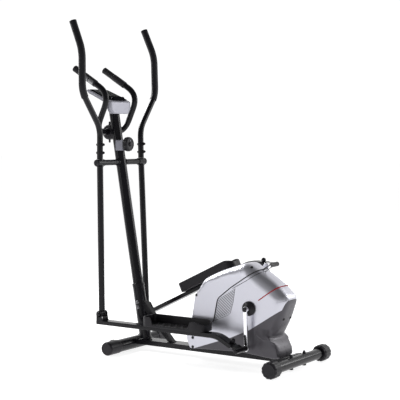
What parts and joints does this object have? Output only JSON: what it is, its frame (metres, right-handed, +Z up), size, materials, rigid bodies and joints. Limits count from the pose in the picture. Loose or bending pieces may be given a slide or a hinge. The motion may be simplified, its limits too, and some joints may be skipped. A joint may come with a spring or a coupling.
{
  "type": "elliptical trainer",
  "caption": "Home elliptical cross trainer: leaning mast with console and fixed grips, swinging hand levers, foot bars with tray pedals, and a crank with an enclosed magnetic drive.",
  "frame": {"origin": "on the floor, below the middle of the overall box", "axes": "+Z up, +Y to the rear where the drive casing is, +X to the user's left; the user faces -Y"},
  "size_m": [0.6286, 1.2318, 1.5879],
  "materials": {
    "black_paint": "gloss black powder coat",
    "black_plastic": "fine-grained black plastic",
    "foam": "matte black foam",
    "chrome": "bright chrome plate",
    "zinc": "zinc-plated",
    "silver_shell": "metallic silver lacquer",
    "dark_shell": "dark grey moulded plastic",
    "inlay_grey": "ribbed mid-grey plastic",
    "grey_plastic": "satin grey plastic",
    "steel": "bare steel",
    "cast_iron": "cast iron",
    "rubber": "black rubber",
    "screen": "glossy black bezel"
  },
  "bodies": {
    "frame": {"base_rail": "black_paint", "front_stabilizer": "black_paint", "rear_stabilizer": "black_paint", "mast_socket": "black_paint", "socket_brace": "black_paint", "mast": "black_paint", "mast_bolt_lower": "zinc", "mast_bolt_upper": "zinc", "pivot_axle": "black_paint", "axle_cap_left": "black_plastic", "axle_cap_right": "black_plastic", "fixed_handlebar": "black_paint", "handlebar_clamp": "black_plastic", "fixed_grip_left": "foam", "fixed_grip_right": "foam", "console_housing": "silver_shell", "console_screen": "screen", "console_bracket": "black_plastic", "tension_housing": "grey_plastic", "front_cap_left": "black_plastic", "front_cap_right": "black_plastic", "casing_upper_left": "silver_shell", "casing_upper_right": "silver_shell", "casing_lower_left": "dark_shell", "casing_lower_right": "dark_shell", "vent_inlay_left": "inlay_grey", "vent_inlay_right": "inlay_grey", "crank_bearing": "black_paint", "flywheel_fork": "black_paint", "drive_belt": "rubber"},
    "swing_left": {"swing_arm_left": "black_paint", "handle_left": "black_paint", "handle_grip_left": "foam"},
    "swing_right": {"swing_arm_right": "black_paint", "handle_right": "black_paint", "handle_grip_right": "foam"},
    "foot_left": {"foot_bar_left": "black_paint", "pedal_left": "black_plastic", "crank_sleeve_left": "black_paint", "pivot_bolt_left": "black_plastic", "hinge_bolt_left": "black_plastic"},
    "foot_right": {"foot_bar_right": "black_paint", "pedal_right": "black_plastic", "crank_sleeve_right": "black_paint", "pivot_bolt_right": "black_plastic", "hinge_bolt_right": "black_plastic"},
    "crank": {"crank_arm_left": "chrome", "crank_arm_right": "chrome", "drive_pulley": "steel"},
    "flywheel": {"flywheel": "cast_iron"},
    "tension_knob": {"tension_knob": "black_plastic"},
    "magnet_bracket": {"magnet_bracket": "steel"},
    "front_wheel_left": {"transport_wheel_left": "rubber"},
    "front_wheel_right": {"transport_wheel_right": "rubber"},
    "level_cap_left": {"rear_cap_left": "black_plastic"},
    "level_cap_right": {"rear_cap_right": "black_plastic"},
    "button_1": {"console_button_1": "grey_plastic"},
    "button_2": {"console_button_2": "grey_plastic"},
    "button_3": {"console_button_3": "grey_plastic"}
  },
  "joints": [
    {"name": "swing_left", "type": "hinge", "parent": "frame", "child": "swing_left", "pos_m": [0, -0.4135, 0.913], "axis": [1, 0, 0], "range_deg": [-14, 14]},
    {"name": "swing_right", "type": "hinge", "parent": "frame", "child": "swing_right", "pos_m": [0, -0.4135, 0.913], "axis": [1, 0, 0], "range_deg": [-14, 14]},
    {"name": "foot_left", "type": "hinge", "parent": "swing_left", "child": "foot_left", "pos_m": [0, -0.40651, 0.18503], "axis": [1, 0, 0], "range_deg": [-14, 14]},
    {"name": "foot_right", "type": "hinge", "parent": "swing_right", "child": "foot_right", "pos_m": [0, -0.38289, 0.18564], "axis": [1, 0, 0], "range_deg": [-14, 14]},
    {"name": "crank", "type": "hinge", "parent": "frame", "child": "crank", "pos_m": [0, 0.366, 0.265], "axis": [1, 0, 0], "continuous": true},
    {"name": "flywheel", "type": "hinge", "parent": "frame", "child": "flywheel", "pos_m": [0, 0.1875, 0.235], "axis": [1, 0, 0], "continuous": true},
    {"name": "tension_knob", "type": "hinge", "parent": "frame", "child": "tension_knob", "pos_m": [0, -0.3675, 1.001], "axis": [0, 1, 0], "range_deg": [0, 270]},
    {"name": "magnet_bracket", "type": "hinge", "parent": "frame", "child": "magnet_bracket", "pos_m": [0, 0.0895, 0.293], "axis": [1, 0, 0], "range_deg": [0, 8.1]},
    {"name": "front_wheel_left", "type": "hinge", "parent": "frame", "child": "front_wheel_left", "pos_m": [0, -0.3775, 0.03], "axis": [1, 0, 0], "continuous": true},
    {"name": "front_wheel_right", "type": "hinge", "parent": "frame", "child": "front_wheel_right", "pos_m": [0, -0.3775, 0.03], "axis": [1, 0, 0], "continuous": true},
    {"name": "level_cap_left", "type": "hinge", "parent": "frame", "child": "level_cap_left", "pos_m": [0, 0.5785, 0.038], "axis": [1, 0, 0], "range_deg": [-90, 90]},
    {"name": "level_cap_right", "type": "hinge", "parent": "frame", "child": "level_cap_right", "pos_m": [0, 0.5785, 0.038], "axis": [1, 0, 0], "range_deg": [-90, 90]},
    {"name": "button_1", "type": "slide", "parent": "frame", "child": "button_1", "axis": [0, 0.3875, 0.9219], "range_m": [-0.002, 0], "stiffness_N_per_m": 400, "springref_m": 0.001},
    {"name": "button_2", "type": "slide", "parent": "frame", "child": "button_2", "axis": [0, 0.3875, 0.9219], "range_m": [-0.002, 0], "stiffness_N_per_m": 400, "springref_m": 0.001},
    {"name": "button_3", "type": "slide", "parent": "frame", "child": "button_3", "axis": [0, 0.3875, 0.9219], "range_m": [-0.002, 0], "stiffness_N_per_m": 400, "springref_m": 0.001}
  ],
  "couplings": [
    {"joint": "swing_right", "follows": "swing_left", "ratio": -1},
    {"joint": "foot_left", "follows": "swing_left", "ratio": -1},
    {"joint": "foot_right", "follows": "swing_left", "ratio": 1},
    {"joint": "crank", "follows": "swing_left", "ratio": 4.139},
    {"joint": "flywheel", "follows": "swing_left", "ratio": 29.749},
    {"joint": "magnet_bracket", "follows": "tension_knob", "ratio": 0.0296}
  ]
}
